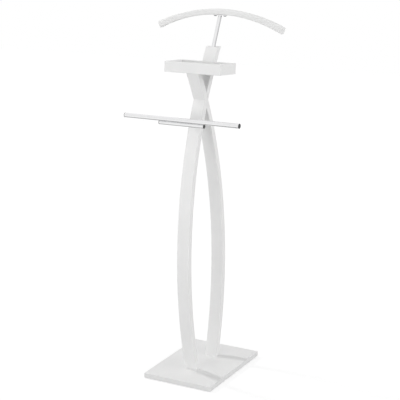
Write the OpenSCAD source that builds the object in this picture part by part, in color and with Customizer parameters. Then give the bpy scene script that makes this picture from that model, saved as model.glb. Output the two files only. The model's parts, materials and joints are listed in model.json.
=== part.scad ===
// Free-standing clothes valet: two bowed board legs cross below a small tray, one of them runs on
// behind the tray as a neck, and a leaning rod carries the jacket bow above it.
// Millimetres. X is the width, -Y is the front, +Z is up, and the floor is at Z = 0.

/* [Overall] */
// Height of the top of the jacket bow above the floor
valet_h = 1102; // [1080:1:1150]

/* [Base] */
// Width of the base plate
base_w = 230; // [200:1:280]
// Depth of the base plate
base_d = 322; // [280:1:380]
// Thickness of the base plate
base_t = 16; // [14:0.5:22]
// Rounding of the base plate's edges
base_edge_r = 1.5; // [0.5:0.1:3]
// Diameter of a glide's head
glide_d = 18; // [14:0.5:22]
// Height of a glide's head below the base plate
glide_h = 2; // [1.5:0.1:4]
// Diameter of a glide's pin
glide_pin_d = 3; // [2:0.1:4]
// Length of a glide's pin inside the base plate
glide_pin_len = 9; // [5:0.5:11]
// Distance of a glide's centre from the edges of the base plate
glide_inset = 20; // [14:0.5:30]

/* [Legs] */
// Width of a leg board, across the valet
leg_w = 40; // [34:0.5:44]
// Thickness of a leg board, along the bow's radius
leg_t = 19; // [18:0.5:25]
// Rounding of the long edges of a leg board
leg_edge_r = 1.6; // [0.5:0.1:3]
// Depth of the legs' crossing below the top of the jacket bow
cross_drop = 254; // [244:1:270]
// Height of the belly, where a leg stands furthest out, as a share of the valet's height
belly_z_share = 0.3155; // [0.3:0.0005:0.332]
// Distance of the belly from the middle of the valet, as a share of the valet's height
belly_y_share = 0.0982; // [0.089:0.0005:0.105]
// Height of the neck's top above the tray's underside
neck_rise = 68; // [55:1:80]
// Gap all round in the cross lap
lap_gap = 0.1; // [0.1:0.05:0.5]
// Diameter of the dowel in the cross lap
lap_dowel_d = 8; // [6:0.5:10]
// Length of the dowel in the cross lap
lap_dowel_len = 26; // [16:1:28]

/* [Foot joints] */
// Shank diameter of a foot screw
foot_screw_d = 5; // [4:0.1:6]
// Head diameter of a foot screw
foot_head_d = 9; // [8:0.1:10.5]
// Length of a foot screw inside the leg
foot_screw_bite = 32; // [20:1:40]
// Distance of the foot screws from the middle of the leg
foot_screw_x = 10; // [8.5:0.1:11.5]
// Diameter of a foot dowel
foot_dowel_d = 8; // [6:0.5:9]
// Length of a foot dowel inside the base plate
foot_dowel_sunk = 10; // [6:0.5:12]
// Length of a foot dowel inside the leg
foot_dowel_bite = 20; // [10:1:30]

/* [Tray] */
// Outer width of the tray
tray_w = 186; // [160:1:220]
// Outer depth of the tray
tray_d = 96; // [88:1:104]
// Outer height of the tray's walls
tray_h = 32; // [27:0.5:40]
// Thickness of the tray's walls
tray_wall = 10; // [9:0.5:12]
// Rounding of the tray's rim
tray_edge_r = 1.2; // [0.5:0.1:2]
// Thickness of the tray's floor
tray_floor_t = 6; // [5:0.5:8]
// Depth of the rebate that holds the floor
tray_rebate = 5; // [3:0.5:6]
// Height of the middle of the tray's underside above the legs' crossing
tray_rise = 79; // [69:1:87]
// Backward tilt of the tray in degrees
tray_tilt = 4.5; // [2:0.5:6]
// Depth that the neck is let into the back wall at the rim
neck_housing = 1; // [0.5:0.1:2]
// Shank diameter of a tray screw
tray_screw_d = 4; // [3.5:0.1:5]
// Head diameter of a tray screw
tray_head_d = 7.6; // [7:0.1:9]
// Length of a tray screw inside the leg or the neck
tray_screw_bite = 18; // [12:0.5:20]
// Distance of the tray screws from the middle of the tray
tray_screw_x = 9; // [6:0.5:11]
// Height of the neck screws above the tray's underside
neck_screw_z = 20.5; // [19:0.5:23]

/* [Jacket hanger] */
// Width of the jacket bow from end to end, along the top
bow_w = 428; // [380:1:460]
// Radius of the top of the jacket bow
bow_r = 512; // [450:1:600]
// Height of the bow's section in the middle
bow_h = 16.5; // [13:0.5:18]
// Height of the bow's section at its ends
bow_end_h = 21; // [19:0.5:24]
// Depth of the bow's section
bow_d = 17; // [14:0.5:24]
// Rounding of the bow's long edges
bow_edge_r = 4; // [2:0.1:5]
// Width of the saddle plate under the bow
saddle_w = 46; // [40:1:60]
// Depth of the saddle plate
saddle_d = 14; // [12.5:0.5:14]
// Thickness of the saddle plate
saddle_t = 2.4; // [2:0.1:4]
// Rounding of the saddle plate's corners
saddle_r = 3; // [1:0.1:5]
// Shank diameter of a saddle screw
saddle_screw_d = 4; // [3.5:0.1:5]
// Head diameter of a saddle screw
saddle_head_d = 9.5; // [8:0.1:10.5]
// Head height of a saddle screw
saddle_head_h = 2.6; // [2:0.1:3.5]
// Length of a saddle screw inside the bow
saddle_screw_bite = 9; // [6:0.1:10]
// Distance of the saddle screws from the middle of the bow
saddle_screw_x = 16; // [14.5:0.5:17]
// Diameter of the hanger post
post_d = 12; // [10:0.1:13]
// Backward lean of the hanger post in degrees
post_lean = 26; // [24:0.5:29]
// Length of the post inside the neck
post_seat = 22; // [20:1:28]
// Diameter of the pin that holds the post
post_pin_d = 4; // [3:0.1:5]
// Depth of the pin below the neck's top, along the post
post_pin_drop = 15; // [12:0.5:18]
// Length of the pin in the wood in front of the post
post_pin_tail = 2; // [1:0.1:2.5]

/* [Trouser bar] */
// Length of the trouser bar with its caps
bar_len = 380; // [320:1:440]
// Outer diameter of the trouser bar
bar_d = 14; // [12:0.1:16]
// Wall of the trouser bar and the support rail
tube_wall = 1.2; // [1:0.1:1.8]
// Length of the support rail with its caps
rail_len = 150; // [120:1:220]
// Outer diameter of the support rail
rail_d = 12; // [11:0.1:14]
// Thickness of a cap's rim
cap_t = 2; // [1:0.1:3]
// Length of a cap's plug inside the tube
cap_plug_len = 10; // [6:0.5:14]
// Clear distance from the leg's face to the middle of the trouser bar
bar_reach = 85; // [75:1:100]
// Diameter of the arm
arm_d = 10; // [9:0.1:12]
// Depth of the arm's foot below the legs' crossing
arm_drop = 76; // [63:1:90]
// Depth of the arm's seat in the leg
arm_sunk = 2; // [1:0.1:3]
// Depth of the support rail's seat in the arm
rail_seat = 1; // [0.5:0.1:1.5]
// Diameter of the arm's spigot in the trouser bar
spigot_d = 6; // [5:0.1:7]
// Length of the arm's spigot inside the trouser bar
spigot_len = 3; // [1:0.1:4]
// Shank diameter of the arm's bolt
arm_bolt_d = 5; // [4:0.1:6]
// Length of the arm's bolt inside the arm
arm_bolt_bite = 15; // [10:1:25]
// Head diameter of the arm's bolt
arm_head_d = 9.5; // [8.5:0.1:11]
// Head height of the arm's bolt
arm_head_h = 2.7; // [2:0.1:4]

/* [Fits] */
// Gap round a screw, pin, rod or dowel in its hole
hole_gap = 0.05; // [0.02:0.01:0.15]
// Gap round the tray's floor in its rebate and round the neck in the tray
tray_gap = 0.2; // [0.1:0.05:0.4]
// Gap between the trouser bar and the support rail
rail_gap = 0.2; // [0.1:0.05:0.4]
// Gap round a cap's plug in its tube
plug_gap = 0.1; // [0.05:0.01:0.2]

/* [Hidden] */
$fn = 64;
// Facets of the small edge roundings and of the large bows
edge_fn = 32;
arc_fn = 720;
// Lengths by which a cutter runs past the solid that it cuts
over = 1;
far = 400;
// Cross slot of a screw's head and socket of the bolt's head, as shares of the head's diameter
slot_len_share = 0.6;
slot_width_share = 0.16;
socket_share = 0.4;

lacquer = "white";
chrome = "silver";
steel = "gray";
black_steel = "dimgray";
beech = "burlywood";
black_plastic = "black";

// Legs: a bow through the belly and the crossing, its centre at the belly's height
cross_z = valet_h - cross_drop;
belly_z = belly_z_share * valet_h;
belly_y = belly_y_share * valet_h;
cross_rise = cross_z - belly_z;
leg_r = (cross_rise * cross_rise + belly_y * belly_y) / (2 * belly_y);
arc_y = leg_r - belly_y;
tray_z = cross_z + tray_rise;
neck_top_z = tray_z + neck_rise;
base_top = glide_h + base_t;
outer_r = leg_r + leg_t / 2;
inner_r = leg_r - leg_t / 2;

// Y of a circle round the bow's centre at height z, on the front leg's side
function arc_at(radius, z) = arc_y - sqrt(radius * radius - (z - belly_z) * (z - belly_z));
function leg_y(z) = arc_at(leg_r, z);

sweep_up = asin((neck_top_z + leg_t - belly_z) / leg_r);
sweep_down = asin((belly_z + leg_t) / leg_r);

// Tray: its rim touches the neck's front face, less the housing
rim_z = tray_z + tray_h * cos(tray_tilt) - tray_d / 2 * sin(tray_tilt);
tray_y = arc_at(outer_r, rim_z) + neck_housing - tray_d / 2 * cos(tray_tilt) - tray_h * sin(tray_tilt);
inside_w = tray_w - 2 * tray_wall;
inside_d = tray_d - 2 * tray_wall;
tray_screw_y = -leg_y(tray_z - tray_screw_bite / 2) - tray_y;
// Thickness of the back wall that is left in front of the neck at the neck screws
neck_screw_wall = arc_at(outer_r, tray_z + neck_screw_z - inside_d / 2 * sin(tray_tilt))
    - tray_y - inside_d / 2 * cos(tray_tilt) - neck_screw_z * sin(tray_tilt);

// Jacket hanger
bow_z = valet_h - bow_r;
bow_half = asin(bow_w / 2 / bow_r);
bow_under = valet_h - bow_h;
// The bow's under side is a rounder arc, from the middle's height to that of the ends
end_in_r = bow_r - bow_end_h;
under_x = end_in_r * sin(bow_half);
under_drop = bow_under - bow_z - end_in_r * cos(bow_half);
under_r = (under_x * under_x + under_drop * under_drop) / (2 * under_drop);
under_half = asin(bow_w / 2 / under_r) + 5;
saddle_z = bow_under - saddle_t;
post_foot_y = leg_y(neck_top_z);
post_len = (saddle_z - neck_top_z) / cos(post_lean);
bow_y = post_foot_y + (saddle_z - neck_top_z) * tan(post_lean);
// Length along the pin from the post's axis to the neck's back face
pin_at_y = post_foot_y - post_pin_drop * sin(post_lean) - arc_y;
pin_at_z = neck_top_z - post_pin_drop * cos(post_lean) - belly_z;
pin_along = pin_at_y * cos(post_lean) - pin_at_z * sin(post_lean);
pin_reach = -pin_along
    - sqrt(pin_along * pin_along - pin_at_y * pin_at_y - pin_at_z * pin_at_z + inner_r * inner_r);
// Depth of the pin's end and of the bolt's head below the wood's face
pin_recess = 0.5;
bolt_recess = 0.5;
pin_front = post_d / 2 + post_pin_tail;

// Trouser bar: the arm stands square to the leg's face
arm_z = cross_z - arm_drop;
arm_angle = asin((arm_z - belly_z) / leg_r);
bar_y = arc_y - (outer_r + bar_reach) * cos(arm_angle);
bar_z = belly_z + (outer_r + bar_reach) * sin(arm_angle);
rail_drop = (rail_d + arm_d) / 2 - rail_seat;
rail_apart = (rail_d + bar_d) / 2 + rail_gap;
rail_back = sqrt(rail_apart * rail_apart - rail_drop * rail_drop);
arm_len = bar_reach + arm_sunk;
// Distance by which the arm's cut behind the rail stays off the rail's top
seat_relief = 0.1;

// Shared shapes
module rounded_rect(w, h, r) {
    square([w - 2 * r, h], center = true);
    square([w, h - 2 * r], center = true);
    for (x = [-1, 1], y = [-1, 1])
        translate([x * (w / 2 - r), y * (h / 2 - r)]) circle(r);
}

// A rectangle whose corners are eased in three steps that follow a rounding
module eased_rect(w, h, r) {
    polygon([
        for (quarter = [0:3], step = [0:3])
            let (turn = 90 * quarter + 30 * step)
            let (side_x = quarter == 0 || quarter == 3 ? 1 : -1)
            let (side_y = quarter < 2 ? 1 : -1)
            [side_x * (w / 2 - r) + r * cos(turn), side_y * (h / 2 - r) + r * sin(turn)]
    ]);
}

// Lays a profile's x along Y and its y along Z, and extrudes it along X
module along_x(length) {
    rotate([90, 0, 90]) linear_extrude(length, center = true) children();
}

// A round bar along X
module round_bar(d, length) {
    rotate([0, 90, 0]) cylinder(d = d, h = length, center = true);
}

// Countersunk screw, head up, its flat top at the origin and its shank down to -length
module screw(d, head_d, length) {
    cone_h = (head_d - d) / 2;
    difference() {
        union() {
            translate([0, 0, -cone_h]) cylinder(d1 = d, d2 = head_d, h = cone_h);
            translate([0, 0, -length]) cylinder(d = d, h = length);
        }
        for (turn = [0, 90])
            rotate([0, 0, turn])
                translate([0, 0, -d / 4])
                    cube([slot_len_share * head_d, slot_width_share * head_d, d], center = true);
    }
}

// The hole that such a screw fills, open above its head
module screw_hole(d, head_d, length) {
    cone_h = (head_d - d) / 2;
    translate([0, 0, -cone_h]) cylinder(d1 = d + 2 * hole_gap, d2 = head_d + 2 * hole_gap, h = cone_h);
    translate([0, 0, -length - hole_gap]) cylinder(d = d + 2 * hole_gap, h = length + hole_gap);
    cylinder(d = head_d + 2 * hole_gap, h = over);
}

// Pan-head screw, head up, its head's underside at the origin and its shank down to -length
module pan_screw(d, head_d, head_h, length) {
    edge = head_h / 2;
    difference() {
        union() {
            translate([0, 0, -length]) cylinder(d = d, h = length + edge);
            cylinder(d = head_d, h = head_h - edge);
            translate([0, 0, head_h - edge]) cylinder(d1 = head_d, d2 = head_d - 2 * edge, h = edge);
        }
        for (turn = [0, 90])
            rotate([0, 0, turn])
                translate([0, 0, head_h])
                    cube([slot_len_share * head_d, slot_width_share * head_d, head_h], center = true);
    }
}

// The front leg's bow, longer than the leg at both ends, with a section grown by extra
module leg_bow(extra, edge_r) {
    translate([0, arc_y, belly_z]) rotate([90, 0, 90]) rotate([0, 0, 180 - sweep_up])
        rotate_extrude(angle = sweep_up + sweep_down, $fn = arc_fn)
            translate([leg_r, 0])
                if (edge_r > 0) eased_rect(leg_t, leg_w, edge_r);
                else square([leg_t + 2 * extra, leg_w + 2 * extra], center = true);
}

module both_legs() {
    children();
    mirror([0, 1, 0]) children();
}

// The half of the lap that lies on one side, where the other leg passes
module lap_cut(side) {
    intersection() {
        leg_bow(lap_gap, 0);
        translate([side * (far - lap_gap) / 2, 0, cross_z]) cube([far, far, 4 * leg_t], center = true);
    }
}

// Places for the foot joints of the front leg
module foot_screw_places() {
    for (x = [-foot_screw_x, foot_screw_x])
        translate([x, leg_y(base_top + foot_screw_bite / 2), glide_h]) rotate([180, 0, 0]) children();
}

module foot_dowel_place() {
    translate([0, leg_y(base_top + foot_dowel_bite / 2), base_top - foot_dowel_sunk]) children();
}

module foot_holes() {
    foot_screw_places() screw_hole(foot_screw_d, foot_head_d, base_t + foot_screw_bite);
    foot_dowel_place()
        translate([0, 0, -hole_gap])
            cylinder(d = foot_dowel_d + 2 * hole_gap, h = foot_dowel_sunk + foot_dowel_bite + 2 * hole_gap);
}

module lap_dowel_hole() {
    translate([0, 0, cross_z]) round_bar(lap_dowel_d + 2 * hole_gap, lap_dowel_len + 2 * hole_gap);
}

// Frame of the tray, with the middle of its underside at the origin
module at_tray() {
    translate([0, tray_y, tray_z]) rotate([-tray_tilt, 0, 0]) children();
}

module tray_leg_screw_places() {
    at_tray()
        for (x = [-tray_screw_x, tray_screw_x])
            translate([x, tray_screw_y, tray_floor_t]) children();
}

module tray_neck_screw_places() {
    at_tray()
        for (x = [-tray_screw_x, tray_screw_x])
            translate([x, inside_d / 2, neck_screw_z]) rotate([90, 0, 0]) children();
}

// Frame of the hanger post, its axis along Z and the neck's top at the origin
module at_post() {
    translate([0, post_foot_y, neck_top_z]) rotate([-post_lean, 0, 0]) children();
}

module pin_hole(gap) {
    back_end = gap > 0 ? pin_reach + over : pin_reach - pin_recess;
    at_post()
        translate([0, 0, -post_pin_drop]) rotate([-90, 0, 0])
            translate([0, 0, -pin_front - gap])
                cylinder(d = post_pin_d + 2 * gap, h = pin_front + back_end);
}

// Frame of the arm, its axis along Z from the middle of the trouser bar to the leg
module at_arm() {
    translate([0, bar_y, bar_z]) rotate([-90 - arm_angle, 0, 0]) children();
}

module at_rail() {
    at_arm() translate([0, rail_drop, rail_back]) children();
}

// Base
module base_plate() {
    color(lacquer)
        difference() {
            translate([0, 0, glide_h + base_t / 2])
                intersection() {
                    linear_extrude(base_t, center = true)
                        rounded_rect(base_w, base_d, base_edge_r, $fn = edge_fn);
                    along_x(base_w) rounded_rect(base_d, base_t, base_edge_r, $fn = edge_fn);
                    rotate([90, 0, 0]) linear_extrude(base_d, center = true)
                        rounded_rect(base_w, base_t, base_edge_r, $fn = edge_fn);
                }
            both_legs() foot_holes();
            for (x = [-1, 1], y = [-1, 1])
                translate([x * (base_w / 2 - glide_inset), y * (base_d / 2 - glide_inset), glide_h - over])
                    cylinder(d = glide_pin_d + 2 * hole_gap, h = over + glide_pin_len + hole_gap);
        }
}

module glide(x, y) {
    color(black_plastic)
        translate([x * (base_w / 2 - glide_inset), y * (base_d / 2 - glide_inset), 0]) {
            cylinder(d = glide_d, h = glide_h);
            cylinder(d = glide_pin_d, h = glide_h + glide_pin_len);
        }
}

module foot_screws() {
    color(steel) both_legs() foot_screw_places() screw(foot_screw_d, foot_head_d, base_t + foot_screw_bite);
}

module foot_dowels() {
    color(beech)
        both_legs() foot_dowel_place() cylinder(d = foot_dowel_d, h = foot_dowel_sunk + foot_dowel_bite);
}

// Legs
module front_leg() {
    color(lacquer)
        difference() {
            leg_bow(0, leg_edge_r);
            translate([0, 0, base_top - far / 2]) cube([far, far, far], center = true);
            translate([0, 0, neck_top_z + far / 2]) cube([far, far, far], center = true);
            mirror([0, 1, 0]) lap_cut(1);
            lap_dowel_hole();
            foot_holes();
            arm_holes();
            tray_neck_screw_places()
                screw_hole(tray_screw_d, tray_head_d, neck_screw_wall + tray_screw_bite);
            at_tray()
                translate([0, 0, tray_floor_t + far / 2]) cube([inside_w, inside_d, far], center = true);
            at_post() translate([0, 0, -post_seat - hole_gap]) cylinder(d = post_d + 2 * hole_gap, h = far);
            pin_hole(hole_gap);
        }
}

module back_leg() {
    color(lacquer)
        difference() {
            mirror([0, 1, 0]) leg_bow(0, leg_edge_r);
            translate([0, 0, base_top - far / 2]) cube([far, far, far], center = true);
            at_tray() translate([0, 0, far / 2]) cube([far, far, far], center = true);
            lap_cut(-1);
            lap_dowel_hole();
            mirror([0, 1, 0]) foot_holes();
            tray_leg_screw_places() screw_hole(tray_screw_d, tray_head_d, tray_floor_t + tray_screw_bite);
        }
}

module lap_dowel() {
    color(beech) translate([0, 0, cross_z]) round_bar(lap_dowel_d, lap_dowel_len);
}

// Tray: four walls mitred at the corners round a floor let into a rebate
module wall_blank(length) {
    intersection() {
        along_x(length) rounded_rect(tray_wall, tray_h, tray_edge_r, $fn = edge_fn);
        linear_extrude(tray_h, center = true)
            polygon([
                [-length / 2, -tray_wall / 2], [length / 2, -tray_wall / 2],
                [length / 2 - tray_wall, tray_wall / 2], [-length / 2 + tray_wall, tray_wall / 2]
            ]);
    }
}

module tray_wall_at(turn, length, span) {
    rebate_w = inside_w + 2 * tray_rebate;
    rebate_d = inside_d + 2 * tray_rebate;
    color(lacquer)
        at_tray()
            difference() {
                rotate([0, 0, turn]) translate([0, (tray_wall - span) / 2, tray_h / 2]) wall_blank(length);
                cube([rebate_w, rebate_d, 2 * tray_floor_t], center = true);
            }
}

module tray_front_wall() {
    tray_wall_at(0, tray_w, tray_d);
}

module tray_back_wall() {
    color(lacquer)
        difference() {
            tray_wall_at(180, tray_w, tray_d);
            leg_bow(tray_gap, 0);
            tray_neck_screw_places() screw_hole(tray_screw_d, tray_head_d, tray_wall);
        }
}

module tray_left_wall() {
    tray_wall_at(-90, tray_d, tray_w);
}

module tray_right_wall() {
    tray_wall_at(90, tray_d, tray_w);
}

module tray_floor() {
    floor_w = inside_w + 2 * (tray_rebate - tray_gap);
    floor_d = inside_d + 2 * (tray_rebate - tray_gap);
    color(lacquer)
        difference() {
            at_tray()
                translate([0, 0, tray_floor_t / 2]) cube([floor_w, floor_d, tray_floor_t], center = true);
            leg_bow(tray_gap, 0);
            tray_leg_screw_places() screw_hole(tray_screw_d, tray_head_d, 2 * tray_floor_t);
        }
}

module tray_leg_screws() {
    color(steel) tray_leg_screw_places() screw(tray_screw_d, tray_head_d, tray_floor_t + tray_screw_bite);
}

module tray_neck_screws() {
    color(steel)
        tray_neck_screw_places() screw(tray_screw_d, tray_head_d, neck_screw_wall + tray_screw_bite);
}

// Jacket hanger
module hanger_post() {
    color(chrome)
        difference() {
            at_post() translate([0, 0, -post_seat]) cylinder(d = post_d, h = post_seat + post_len + post_d);
            translate([0, bow_y, saddle_z + far / 2]) cube([far, far, far], center = true);
            pin_hole(hole_gap);
        }
}

module post_pin() {
    color(steel) pin_hole(0);
}

module saddle_screw_places() {
    for (x = [-saddle_screw_x, saddle_screw_x])
        translate([x, bow_y, saddle_z]) rotate([180, 0, 0]) children();
}

module saddle_screw_holes() {
    length = saddle_t + saddle_screw_bite + hole_gap;
    saddle_screw_places()
        translate([0, 0, -length]) cylinder(d = saddle_screw_d + 2 * hole_gap, h = length + over);
}

module saddle_plate() {
    color(chrome)
        difference() {
            translate([0, bow_y, saddle_z])
                linear_extrude(saddle_t) rounded_rect(saddle_w, saddle_d, saddle_r);
            saddle_screw_holes();
        }
}

module saddle_screws() {
    color(black_steel)
        saddle_screw_places()
            pan_screw(saddle_screw_d, saddle_head_d, saddle_head_h, saddle_t + saddle_screw_bite);
}

// An upright arch round a middle at height, its section's origin at radius and its x outwards
module arch(radius, height, half) {
    translate([0, bow_y, height]) rotate([90, 0, 0]) rotate([0, 0, 90 - half])
        rotate_extrude(angle = 2 * half, $fn = arc_fn)
            translate([radius, 0]) children();
}

// Section that eases the bow's two lower edges in steps and then leaves its sides
module under_section() {
    half_d = bow_d / 2;
    side = [
        for (turn = [0:22.5:67.5])
            [bow_edge_r * (1 - cos(turn)), half_d - bow_edge_r * (1 - sin(turn))],
        [3 * bow_edge_r, half_d + 0.3 * bow_edge_r],
        [2 * bow_end_h, half_d + 0.3 * bow_edge_r]
    ];
    polygon(concat(side, [for (i = [len(side) - 1:-1:0]) [side[i].x, -side[i].y]]));
}

module jacket_bow() {
    color(lacquer)
        difference() {
            intersection() {
                arch(bow_r - bow_end_h, bow_z, bow_half)
                    rounded_rect(2 * bow_end_h, bow_d, bow_edge_r, $fn = edge_fn);
                arch(under_r, bow_under - under_r, under_half) under_section();
            }
            translate([0, bow_y, bow_under - bow_h / 2])
                cube([saddle_w + 2 * tray_gap, 2 * bow_d, bow_h], center = true);
            saddle_screw_holes();
        }
}

// Trouser bar
module tube(d, length) {
    difference() {
        round_bar(d, length);
        round_bar(d - 2 * tube_wall, length + 2 * over);
    }
}

module cap(d, side) {
    rotate([0, side * 90, 0]) {
        cylinder(d = d, h = cap_t);
        translate([0, 0, -cap_plug_len])
            cylinder(d = d - 2 * tube_wall - 2 * plug_gap, h = cap_plug_len + cap_t / 2);
    }
}

module trouser_bar() {
    color(chrome)
        difference() {
            translate([0, bar_y, bar_z]) tube(bar_d, bar_len - 2 * cap_t);
            at_arm() cylinder(d = spigot_d + 2 * hole_gap, h = bar_d);
        }
}

module bar_cap(side) {
    color(black_plastic) translate([side * (bar_len / 2 - cap_t), bar_y, bar_z]) cap(bar_d, side);
}

module support_rail() {
    color(chrome) at_rail() tube(rail_d, rail_len - 2 * cap_t);
}

module rail_cap(side) {
    color(black_plastic) at_rail() translate([side * (rail_len / 2 - cap_t), 0, 0]) cap(rail_d, side);
}

module arm_holes() {
    at_arm() {
        translate([0, 0, bar_reach - over]) cylinder(d = arm_d + 2 * hole_gap, h = arm_sunk + over);
        translate([0, 0, bar_reach]) cylinder(d = arm_bolt_d + 2 * hole_gap, h = leg_t + over);
        translate([0, 0, bar_reach + leg_t - bolt_recess])
            cylinder(d = arm_head_d + 2 * hole_gap, h = arm_head_h + over);
    }
}

// Coped to the trouser bar, with a spigot through the bar's wall and a seat for the rail below
module rail_arm() {
    spigot_end = bar_d / 2 - tube_wall - spigot_len;
    color(chrome)
        at_arm()
            difference() {
                union() {
                    difference() {
                        translate([0, 0, spigot_end]) cylinder(d = arm_d, h = arm_len - spigot_end);
                        round_bar(bar_d, 2 * arm_d);
                        translate([0, rail_drop, rail_back]) rail_seat_cut();
                    }
                    translate([0, 0, spigot_end]) cylinder(d = spigot_d, h = bar_d / 2 - spigot_end + over);
                }
                translate([0, 0, arm_len - arm_bolt_bite - hole_gap])
                    cylinder(d = arm_bolt_d + 2 * hole_gap, h = arm_bolt_bite + over);
            }
}

// The rail's own round, and everything in front of it down to a hair below its top
module rail_seat_cut() {
    block = 2 * rail_d;
    round_bar(rail_d, block);
    translate([0, (block - rail_d) / 2 - seat_relief, -block / 2]) cube(block, center = true);
}

module arm_bolt() {
    color(steel)
        at_arm()
            difference() {
                union() {
                    translate([0, 0, arm_len - arm_bolt_bite])
                        cylinder(d = arm_bolt_d, h = arm_bolt_bite + leg_t - arm_sunk);
                    translate([0, 0, bar_reach + leg_t - bolt_recess])
                        cylinder(d = arm_head_d, h = arm_head_h);
                }
                translate([0, 0, bar_reach + leg_t - bolt_recess + arm_head_h / 2])
                    cylinder(d = socket_share * arm_head_d, h = arm_head_h, $fn = 6);
            }
}

base_plate();
glide(-1, -1);  // glide_front_left
glide(1, -1);  // glide_front_right
glide(-1, 1);  // glide_back_left
glide(1, 1);  // glide_back_right
front_leg();
back_leg();
lap_dowel();
foot_screws();
foot_dowels();
tray_floor();
tray_front_wall();
tray_back_wall();
tray_left_wall();
tray_right_wall();
tray_leg_screws();
tray_neck_screws();
hanger_post();
post_pin();
saddle_plate();
saddle_screws();
jacket_bow();
trouser_bar();
bar_cap(-1);  // bar_cap_left
bar_cap(1);  // bar_cap_right
support_rail();
rail_cap(-1);  // rail_cap_left
rail_cap(1);  // rail_cap_right
rail_arm();
arm_bolt();
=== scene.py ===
"""Clothes valet on a plain floor: its materials, moulded caps and glides, bow, light and camera."""

import json
import math

import bmesh
import bpy
from mathutils import Matrix, Quaternion, Vector


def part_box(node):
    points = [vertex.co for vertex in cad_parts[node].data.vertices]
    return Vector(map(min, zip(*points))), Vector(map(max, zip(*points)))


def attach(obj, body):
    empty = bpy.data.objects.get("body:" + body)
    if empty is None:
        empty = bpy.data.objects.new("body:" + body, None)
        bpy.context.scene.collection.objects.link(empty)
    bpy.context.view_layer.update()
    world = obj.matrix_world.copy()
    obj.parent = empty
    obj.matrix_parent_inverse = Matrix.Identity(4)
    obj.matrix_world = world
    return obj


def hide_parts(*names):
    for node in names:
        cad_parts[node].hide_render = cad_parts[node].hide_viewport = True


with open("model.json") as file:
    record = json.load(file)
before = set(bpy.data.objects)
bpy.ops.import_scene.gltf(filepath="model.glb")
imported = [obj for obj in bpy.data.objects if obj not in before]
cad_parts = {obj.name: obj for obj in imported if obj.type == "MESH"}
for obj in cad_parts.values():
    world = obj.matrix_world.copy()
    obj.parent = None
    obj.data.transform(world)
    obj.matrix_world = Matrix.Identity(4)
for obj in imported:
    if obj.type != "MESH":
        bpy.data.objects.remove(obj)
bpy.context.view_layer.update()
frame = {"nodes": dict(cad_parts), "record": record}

# The one body of the valet
ROOT = "root"


# Shader nodes


def add_node(tree, kind, inputs, **settings):
    """A new node. inputs gives each socket, by name or number, a value or another node's output."""
    node = tree.nodes.new(kind)
    for name, value in settings.items():
        setattr(node, name, value)
    for socket, value in inputs.items():
        if isinstance(value, bpy.types.NodeSocket):
            tree.links.new(value, node.inputs[socket])
        else:
            node.inputs[socket].default_value = value
    return node


def add_ramp(tree, value, stops):
    """The colour along value. stops are (position, colour) pairs, the lowest position first."""
    node = add_node(tree, "ShaderNodeValToRGB", {"Fac": value})
    elements = node.color_ramp.elements
    while len(elements) < len(stops):
        elements.new(1.0)
    for element, (position, colour) in zip(elements, stops):
        element.position = position
        element.color = (*colour, 1.0)
    return node.outputs["Color"]


# The values between which noise mostly lies
NOISE_LOW = 0.3
NOISE_HIGH = 0.7


class Shader:
    """A material with one surface shader, and short calls for the nodes that feed it."""

    def __init__(self, name, **values):
        self.material = bpy.data.materials.new(name)
        self.material.use_nodes = True
        self.tree = self.material.node_tree
        self.surface = self.tree.nodes["Principled BSDF"]
        self.coordinates = self.tree.nodes.new("ShaderNodeTexCoord")
        self.place = self.coordinates.outputs["Object"]
        for socket, value in values.items():
            self.surface.inputs[socket.replace("_", " ")].default_value = value

    def feed(self, socket, source):
        self.tree.links.new(source, self.surface.inputs[socket])

    def stretched(self, scale):
        """The place, scaled along X, Y and Z. Noise is long where the scale is small."""
        node = add_node(self.tree, "ShaderNodeMapping", {"Vector": self.place, "Scale": scale})
        return node.outputs["Vector"]

    def noise(self, scale, detail, place=None, distortion=0.0):
        inputs = {
            "Vector": place or self.place,
            "Scale": scale,
            "Detail": detail,
            "Distortion": distortion,
        }
        return add_node(self.tree, "ShaderNodeTexNoise", inputs).outputs["Fac"]

    def ranged(self, value, low, high):
        """From low to high, as value goes from NOISE_LOW to NOISE_HIGH."""
        inputs = {
            "Value": value,
            "From Min": NOISE_LOW,
            "From Max": NOISE_HIGH,
            "To Min": low,
            "To Max": high,
        }
        return add_node(self.tree, "ShaderNodeMapRange", inputs).outputs["Result"]

    def blended(self, value, low, high):
        """From the colour low to the colour high, as value goes from NOISE_LOW to NOISE_HIGH."""
        return add_ramp(self.tree, value, [(NOISE_LOW, low), (NOISE_HIGH, high)])

    def flatness(self):
        """1 on level faces and 0 on upright ones."""
        normal = self.coordinates.outputs["Normal"]
        split = add_node(self.tree, "ShaderNodeSeparateXYZ", {"Vector": normal})
        size = add_node(self.tree, "ShaderNodeMath", {0: split.outputs["Z"]}, operation="ABSOLUTE")
        return size.outputs[0]

    # Painted shade: the colour scaled down by a share
    def darkened_by_painted_shade(self, colour, share):
        inputs = {0: colour, "Scale": share}
        return add_node(self.tree, "ShaderNodeVectorMath", inputs, operation="SCALE").outputs[0]

    def bump(self, *reliefs):
        """reliefs are (height from 0 to 1, depth in metres, strength), the coarsest first."""
        normal = None
        for height, depth, strength in reliefs:
            inputs = {"Height": height, "Distance": depth, "Strength": strength}
            node = add_node(self.tree, "ShaderNodeBump", inputs)
            if normal is not None:
                self.tree.links.new(normal, node.inputs["Normal"])
            normal = node.outputs["Normal"]
        self.feed("Normal", normal)


# Materials


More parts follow.
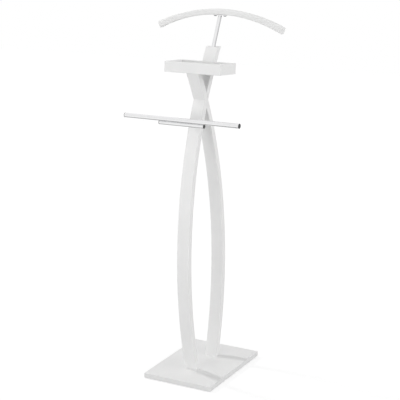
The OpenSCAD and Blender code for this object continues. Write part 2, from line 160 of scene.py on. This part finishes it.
def white_lacquer(name, painted_side_shade=1.0):
    """Satin white board. Its second argument paints shade: how bright its upright sides are painted
    beside its level faces.
    """
    s = Shader(name, IOR=1.5, Coat_Weight=0.12, Coat_Roughness=0.22)
    cloud = s.noise(scale=9.0, detail=3.0)
    wave = s.noise(scale=26.0, detail=1.0)
    peel = s.noise(scale=420.0, detail=2.0)
    white = s.blended(cloud, low=(0.835, 0.835, 0.832), high=(0.865, 0.865, 0.862))
    # Painted shade: upright faces are painted darker than level ones
    if painted_side_shade < 1.0:
        white = s.darkened_by_painted_shade(white, s.ranged(s.flatness(), low=painted_side_shade, high=1.0))
    s.feed("Base Color", white)
    s.feed("Roughness", s.ranged(peel, low=0.36, high=0.46))
    s.bump((wave, 0.0002, 0.1), (peel, 0.00003, 0.2))
    return s.material


def chrome():
    """Polished plate with a slight haze and very fine lines along X."""
    s = Shader("chrome", Metallic=1.0)
    haze = s.noise(scale=60.0, detail=4.0)
    lines = s.noise(scale=900.0, detail=2.0, place=s.stretched((0.04, 1.0, 1.0)))
    s.feed("Base Color", s.blended(haze, low=(0.84, 0.84, 0.85), high=(0.88, 0.88, 0.885)))
    s.feed("Roughness", s.ranged(haze, low=0.06, high=0.11))
    s.bump((lines, 0.00001, 0.12))
    return s.material


def black_steel():
    s = Shader("black_steel", IOR=1.5)
    cloud = s.noise(scale=300.0, detail=3.0)
    grain = s.noise(scale=2600.0, detail=2.0)
    s.feed("Base Color", s.blended(cloud, low=(0.052, 0.052, 0.054), high=(0.07, 0.07, 0.072)))
    s.feed("Roughness", s.ranged(grain, low=0.34, high=0.46))
    s.bump((grain, 0.00002, 0.3))
    return s.material


def steel():
    """Dull zinc plate."""
    s = Shader("steel", Metallic=1.0)
    haze = s.noise(scale=220.0, detail=3.0)
    grain = s.noise(scale=2400.0, detail=2.0, place=s.stretched((1.0, 0.3, 1.0)))
    s.feed("Base Color", s.blended(haze, low=(0.50, 0.50, 0.51), high=(0.60, 0.60, 0.605)))
    s.feed("Roughness", s.ranged(grain, low=0.26, high=0.42))
    s.bump((grain, 0.00002, 0.3))
    return s.material


def beech():
    """Bare wood with growth rings and short flecks along X."""
    s = Shader("beech")
    rings = s.noise(scale=260.0, detail=4.0, place=s.stretched((0.12, 1.0, 1.0)), distortion=0.6)
    flecks = s.noise(scale=1500.0, detail=2.0, place=s.stretched((0.2, 1.0, 1.0)))
    tones = [(0.3, (0.60, 0.40, 0.24)), (0.55, (0.70, 0.50, 0.32)), (0.75, (0.64, 0.44, 0.27))]
    s.feed("Base Color", add_ramp(s.tree, rings, tones))
    s.feed("Roughness", s.ranged(flecks, low=0.5, high=0.68))
    s.bump((rings, 0.00005, 0.3), (flecks, 0.00003, 0.3))
    return s.material


def black_plastic():
    s = Shader("black_plastic", IOR=1.5)
    cloud = s.noise(scale=140.0, detail=2.0)
    grain = s.noise(scale=3200.0, detail=2.0)
    s.feed("Base Color", s.blended(cloud, low=(0.026, 0.026, 0.028), high=(0.036, 0.036, 0.038)))
    s.feed("Roughness", s.ranged(grain, low=0.36, high=0.52))
    s.bump((grain, 0.00002, 0.35))
    return s.material


MATERIALS = {
    "white_lacquer": white_lacquer("white_lacquer"),
    "chrome": chrome(),
    "black_steel": black_steel(),
    "steel": steel(),
    "beech": beech(),
    "black_plastic": black_plastic(),
}

for part in frame["record"]["subparts"]:
    node = frame["nodes"][part["node"]]
    node.data.materials.clear()
    node.data.materials.append(MATERIALS[part["material_slot"]])

# Painted shade: the base plate's upright sides are painted a little darker than its top, standing in
# for the shade on them
BASE_SIDE_PAINTED_SHADE = 0.96
base_lacquer_with_painted_shade = white_lacquer("white_lacquer_base_painted_shade", BASE_SIDE_PAINTED_SHADE)
frame["nodes"]["base_plate"].data.materials[0] = base_lacquer_with_painted_shade


# Pieces that stand for CAD nodes

# Facets that meet at less than this are shaded as one round face
SHARP_DEG = 35


def stand_in(name, mesh, slot, node):
    """Puts a mesh in a CAD node's place, as a piece with the material of that slot."""
    mesh.shade_smooth()
    mesh.set_sharp_from_angle(angle=math.radians(SHARP_DEG))
    mesh.materials.clear()
    mesh.materials.append(MATERIALS[slot])
    piece = bpy.data.objects.new(name, mesh)
    bpy.context.scene.collection.objects.link(piece)
    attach(piece, ROOT)
    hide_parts(node)


# Turned pieces: points round each ring, and steps round an edge
SEGMENTS = 64
EDGE_STEPS = 5


def rounding(radius, height, edge, start_deg, end_deg):
    """(radius, height) pairs along an arc of radius edge about a centre, between two angles."""
    turn = (end_deg - start_deg) / EDGE_STEPS
    angles = [math.radians(start_deg + turn * i) for i in range(EDGE_STEPS + 1)]
    return [(radius + edge * math.cos(a), height + edge * math.sin(a)) for a in angles]


def turned_mesh(name, profile):
    """A closed shape turned about Z, through the (radius, height) pairs of its profile."""
    vertices = []
    for radius, height in profile:
        for i in range(SEGMENTS):
            angle = 2 * math.pi * (i + 0.5) / SEGMENTS
            vertices.append((radius * math.cos(angle), radius * math.sin(angle), height))
    faces = [tuple(reversed(range(SEGMENTS)))]
    for level in range(len(profile) - 1):
        low = level * SEGMENTS
        for i in range(SEGMENTS):
            j = (i + 1) % SEGMENTS
            faces.append((low + i, low + j, low + SEGMENTS + j, low + SEGMENTS + i))
    last = (len(profile) - 1) * SEGMENTS
    faces.append(tuple(range(last, last + SEGMENTS)))
    mesh = bpy.data.meshes.new(name)
    mesh.from_pydata(vertices, [], faces)
    return mesh


# End caps of the bar and the rail: the plug and its ribs
TUBE_WALL = 0.0012
PLUG_GAP = 0.0001
PLUG_TIP = 0.0008
PLUG_TIP_SHARE = 0.8
RIB_HEIGHT = 0.0001
RIB_SLOPE = 0.0003
RIB_FLAT = 0.0006
# Where the ribs start, as shares of the plug's length
RIB_PLACES = (0.3, 0.6)
# The rim outside the tube, its rounded edge and its crowned end
CAP_RIM = 0.002
CAP_EDGE = 0.0007
CAP_EDGE_DEG = 80
CAP_DOME = 0.0004
# Rings of the crowned end, as shares of the cap's radius
DOME_RINGS = (0.85, 0.7, 0.5, 0.3, 0.12)


def end_cap(node, side):
    """A pressed-in cap at the left end of a tube, where side is -1, or at the right end, at 1."""
    low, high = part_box(node)
    centre = (low + high) / 2
    radius = (high.z - low.z) / 2
    length = high.x - low.x
    rib = radius - TUBE_WALL - PLUG_GAP
    plug = rib - RIB_HEIGHT
    plug_length = length - CAP_RIM
    profile = [(rib * PLUG_TIP_SHARE, 0.0), (plug, PLUG_TIP)]
    for share in RIB_PLACES:
        start = plug_length * share
        profile += [
            (plug, start),
            (rib, start + RIB_SLOPE),
            (rib, start + RIB_SLOPE + RIB_FLAT),
            (plug, start + RIB_SLOPE * 2 + RIB_FLAT),
        ]
    profile += [(plug, plug_length), (radius, plug_length)]
    shoulder = length - CAP_DOME
    profile += rounding(radius - CAP_EDGE, shoulder - CAP_EDGE, CAP_EDGE, 0, CAP_EDGE_DEG)
    profile += [(radius * share, shoulder + CAP_DOME * (1 - share * share)) for share in DOME_RINGS]
    name = node + "_moulded"
    mesh = turned_mesh(name, profile)
    inner_end = low.x if side > 0 else high.x
    turn = Matrix.Rotation(side * math.pi / 2, 4, "Y")
    mesh.transform(Matrix.Translation((inner_end, centre.y, centre.z)) @ turn)
    stand_in(name, mesh, "black_plastic", node)


for tube in ("bar", "rail"):
    end_cap(f"{tube}_cap_left", -1)
    end_cap(f"{tube}_cap_right", 1)


# Glides: the head, and the nail above it
GLIDE_EDGE = 0.0007
GLIDE_HEAD = 0.002
NAIL_RADIUS = 0.0015
NAIL_TIP = 0.001
NAIL_TIP_SHARE = 0.35
# The dimple in the underside, and its curve from the middle out, in shares of its radius and depth
DIMPLE_RADIUS = 0.0025
DIMPLE_DEPTH = 0.0005
DIMPLE_LIP = 0.0003
DIMPLE_CURVE = ((0.4, 1.0), (0.8, 0.9), (1.0, 0.2))


def glide(node):
    """A nail-in glide: its underside is flat round a shallow dimple, and its edge is rounded."""
    low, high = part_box(node)
    centre = (low + high) / 2
    radius = (high.x - low.x) / 2
    profile = [(DIMPLE_RADIUS * across, DIMPLE_DEPTH * deep) for across, deep in DIMPLE_CURVE]
    profile += [(DIMPLE_RADIUS + DIMPLE_LIP, 0.0)]
    profile += rounding(radius - GLIDE_EDGE, GLIDE_EDGE, GLIDE_EDGE, -90, 0)
    profile += [(radius, GLIDE_HEAD), (NAIL_RADIUS, GLIDE_HEAD)]
    profile += [(NAIL_RADIUS, high.z - NAIL_TIP), (NAIL_RADIUS * NAIL_TIP_SHARE, high.z)]
    name = node + "_moulded"
    mesh = turned_mesh(name, profile)
    mesh.transform(Matrix.Translation((centre.x, centre.y, 0.0)))
    stand_in(name, mesh, "black_plastic", node)


for end in ("front", "back"):
    for hand in ("left", "right"):
        glide(f"glide_{end}_{hand}")


# The jacket bow's end faces: their rounding, and how far in they reach and how much they face out
BOW_EDGE = 0.0035
BOW_EDGE_STEPS = 5
BOW_END_REACH = 0.0175
BOW_END_FACING = 0.85
# Points closer than this are one, and facets that turn less than this are one face
MERGE_DISTANCE = 1e-6
MERGE_DEG = 0.5
# The bevel's profile value for a round edge
ROUND_PROFILE = 0.5


def round_ended_bow():
    """The jacket bow with the outlines of its end faces rounded, so that they don't mark a jacket."""
    mesh = frame["nodes"]["jacket_bow"].data.copy()
    mesh.name = "jacket_bow_rounded"
    shape = bmesh.new()
    shape.from_mesh(mesh)
    bmesh.ops.remove_doubles(shape, verts=shape.verts, dist=MERGE_DISTANCE)
    flat = math.radians(MERGE_DEG)
    bmesh.ops.dissolve_limit(shape, angle_limit=flat, verts=shape.verts, edges=shape.edges)
    inner_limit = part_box("jacket_bow")[1].x - BOW_END_REACH

    def at_end(face):
        outside = abs(face.calc_center_median().x) > inner_limit
        return outside and abs(face.normal.x) > BOW_END_FACING

    bmesh.ops.bevel(
        shape,
        geom=[edge for edge in shape.edges if any(at_end(face) for face in edge.link_faces)],
        offset=BOW_EDGE,
        segments=BOW_EDGE_STEPS,
        profile=ROUND_PROFILE,
        affect="EDGES",
        clamp_overlap=False,
    )
    shape.to_mesh(mesh)
    shape.free()
    stand_in("jacket_bow_rounded", mesh, "white_lacquer", "jacket_bow")


round_ended_bow()


# World and floor


def ray_share(tree, first, *others):
    """1 for rays of the named kinds, and 0 for the rest."""
    rays = tree.nodes.new("ShaderNodeLightPath")
    share = rays.outputs[first]
    for name in others:
        inputs = {0: share, 1: rays.outputs[name]}
        share = add_node(tree, "ShaderNodeMath", inputs, operation="MAXIMUM").outputs[0]
    return share


def product(tree, first, second):
    inputs = {0: first, 1: second}
    return add_node(tree, "ShaderNodeMath", inputs, operation="MULTIPLY").outputs[0]


def grey_ramp(tree, value, stops):
    """A grey level along value, which runs from -1 to 1. stops are (place from 0 to 1, level)."""
    place = add_node(tree, "ShaderNodeMapRange", {"Value": value, "From Min": -1.0})
    return add_ramp(tree, place.outputs["Result"], [(at, (grey, grey, grey)) for at, grey in stops])


def mixed(tree, share, first, second):
    """The first shader where share is 0, and the second where it is 1."""
    inputs = {"Fac": share, 1: first.outputs[0], 2: second.outputs[0]}
    return add_node(tree, "ShaderNodeMixShader", inputs)


WHITE = (1.0, 1.0, 1.0, 1.0)
# The even light on the valet
AMBIENT = 0.486
# How bright the studio is where a mirror looks
MIRRORED_LEVEL = 1.06
# Shares of that level by height, from straight down at 0 to straight up at 1
MIRRORED_BY_HEIGHT = [(0.0, 0.3), (0.08, 0.35), (0.15, 1.0), (0.45, 1.0), (0.6, 0.94), (1.0, 0.94)]
# Shares of it by side, from straight away from the dim side at 0 to straight towards it at 1
DIM_SIDE = (0.876, 0.482, 0.0)
MIRRORED_BY_SIDE = [
    (0.0, 0.93),
    (0.1, 0.93),
    (0.3, 1.0),
    (0.6, 0.95),
    (0.74, 0.93),
    (0.87, 0.9),
    (1.0, 0.5),
]


def make_world():
    """Even light, a white background for the camera, and a soft studio for mirrors."""
    world = bpy.data.worlds.new("studio")
    bpy.context.scene.world = world
    world.use_nodes = True
    tree = world.node_tree
    lit = tree.nodes["Background"]
    lit.inputs["Color"].default_value = WHITE
    lit.inputs["Strength"].default_value = AMBIENT
    shown = add_node(tree, "ShaderNodeBackground", {"Color": WHITE})
    towards = tree.nodes.new("ShaderNodeTexCoord").outputs["Generated"]
    split = add_node(tree, "ShaderNodeSeparateXYZ", {0: towards})
    inputs = {0: towards, 1: DIM_SIDE}
    facing = add_node(tree, "ShaderNodeVectorMath", inputs, operation="DOT_PRODUCT")
    inputs = {
        0: grey_ramp(tree, split.outputs["Z"], MIRRORED_BY_HEIGHT),
        1: grey_ramp(tree, facing.outputs["Value"], MIRRORED_BY_SIDE),
    }
    studio = add_node(tree, "ShaderNodeVectorMath", inputs, operation="MULTIPLY")
    inputs = {"Color": studio.outputs[0], "Strength": MIRRORED_LEVEL}
    mirrored = add_node(tree, "ShaderNodeBackground", inputs)
    unseen = mixed(tree, ray_share(tree, "Is Glossy Ray"), lit, mirrored)
    whole = mixed(tree, ray_share(tree, "Is Camera Ray", "Is Transmission Ray"), unseen, shown)
    tree.links.new(whole.outputs[0], tree.nodes["World Output"].inputs["Surface"])


make_world()

FLOOR_HALF = 6.0
FLOOR_GRAIN = 40.0
FLOOR_TONES = (0.66, 0.68)
# The camera sees the floor as mostly plain white, with a share of its shading and shadows
FLOOR_SHADING_SEEN = 0.5
FLOOR_GLOW = 0.74


def make_floor():
    """A matt pale floor that shows in no mirror."""
    mesh = bpy.data.meshes.new("floor")
    corners = [(-1, -1), (1, -1), (1, 1), (-1, 1)]
    mesh.from_pydata([(x * FLOOR_HALF, y * FLOOR_HALF, 0.0) for x, y in corners], [], [(0, 1, 2, 3)])
    floor = bpy.data.objects.new("floor", mesh)
    bpy.context.scene.collection.objects.link(floor)
    material = bpy.data.materials.new("floor")
    material.use_nodes = True
    tree = material.node_tree
    tree.nodes.remove(tree.nodes["Principled BSDF"])
    grain = add_node(tree, "ShaderNodeTexNoise", {"Scale": FLOOR_GRAIN}).outputs["Fac"]
    inputs = {"Value": grain, "To Min": FLOOR_TONES[0], "To Max": FLOOR_TONES[1]}
    tone = add_node(tree, "ShaderNodeMapRange", inputs).outputs["Result"]
    seen = ray_share(tree, "Is Camera Ray", "Is Glossy Ray", "Is Transmission Ray")
    inputs = {"Value": seen, "To Min": 1.0, "To Max": FLOOR_SHADING_SEEN}
    shading = add_node(tree, "ShaderNodeMapRange", inputs).outputs["Result"]
    matt = add_node(tree, "ShaderNodeBsdfDiffuse", {"Color": product(tree, tone, shading)})
    glow = add_node(tree, "ShaderNodeEmission", {"Strength": product(tree, seen, FLOOR_GLOW)})
    both = add_node(tree, "ShaderNodeAddShader", {0: matt.outputs[0], 1: glow.outputs[0]})
    tree.links.new(both.outputs[0], tree.nodes["Material Output"].inputs["Surface"])
    mesh.materials.append(material)
    floor.visible_glossy = False


make_floor()


# Lamps

# The middle of the valet, where the camera and the far lamps are aimed
AIM = Vector((0.0, 0.0, 0.542))
LAMP_DISTANCE = 2.0


def place_lamp(name, data, place, target):
    """A lamp that faces target and shows in no mirror."""
    lamp = bpy.data.objects.new(name, data)
    lamp.location = place
    lamp.rotation_euler = (place - target).to_track_quat("Z", "Y").to_euler()
    lamp.visible_glossy = False
    bpy.context.scene.collection.objects.link(lamp)


def far_light(name, direction, spread_deg, strength):
    """Even light from one side, with a soft shadow."""
    data = bpy.data.lights.new(name, "SUN")
    data.angle = math.radians(spread_deg)
    data.energy = strength
    place_lamp(name, data, AIM + Vector(direction).normalized() * LAMP_DISTANCE, AIM)


def near_light(name, place, target, size, watts):
    """A round soft box close by, brighter on what is nearest."""
    data = bpy.data.lights.new(name, "AREA")
    data.shape = "DISK"
    data.size = size
    data.energy = watts
    place_lamp(name, data, Vector(place), Vector(target))


far_light("key", direction=(-1.0, 0.06, 0.92), spread_deg=6.5, strength=0.875)
far_light("front", direction=(-0.05, -1.0, 0.12), spread_deg=32.0, strength=0.2)
far_light("front_left", direction=(-0.5, -1.0, 0.12), spread_deg=32.0, strength=0.5)
far_light("left", direction=(-1.0, -0.4, 0.15), spread_deg=40.0, strength=0.4)
far_light("side", direction=(1.0, -0.1, 0.25), spread_deg=60.0, strength=1.28)
near_light("near", place=(-0.2, -1.3, 0.8), target=(0.0, 0.0, 0.92), size=0.8, watts=1.5)


# Camera, fitted to the photograph's edges

CAMERA_DISTANCE = 3.5418
CAMERA_AZIMUTH = 0.503
CAMERA_PITCH = 0.256
CAMERA_ROLL = -0.005
SENSOR_MM = 36.0
FRAME_PIXELS = 400.0
FOCAL_PIXELS = 1174.167
SHIFT_PIXELS = (-1.383, -0.346)


def make_camera():
    """The photograph's camera, placed by its angles, in radians, and its distance from AIM."""
    data = bpy.data.cameras.new("camera")
    data.sensor_width = SENSOR_MM
    data.lens = FOCAL_PIXELS * SENSOR_MM / FRAME_PIXELS
    data.shift_x = SHIFT_PIXELS[0] / FRAME_PIXELS
    data.shift_y = SHIFT_PIXELS[1] / FRAME_PIXELS
    camera = bpy.data.objects.new("camera", data)
    level_reach = math.cos(CAMERA_PITCH)
    away = Vector(
        (
            math.sin(CAMERA_AZIMUTH) * level_reach,
            -math.cos(CAMERA_AZIMUTH) * level_reach,
            math.sin(CAMERA_PITCH),
        )
    )
    camera.location = AIM + away * CAMERA_DISTANCE
    camera.rotation_mode = "QUATERNION"
    upright = (-away).to_track_quat("-Z", "Y")
    camera.rotation_quaternion = upright @ Quaternion((0.0, 0.0, 1.0), CAMERA_ROLL)
    bpy.context.scene.collection.objects.link(camera)
    bpy.context.scene.camera = camera


make_camera()

bpy.context.scene.view_settings.view_transform = "Standard"
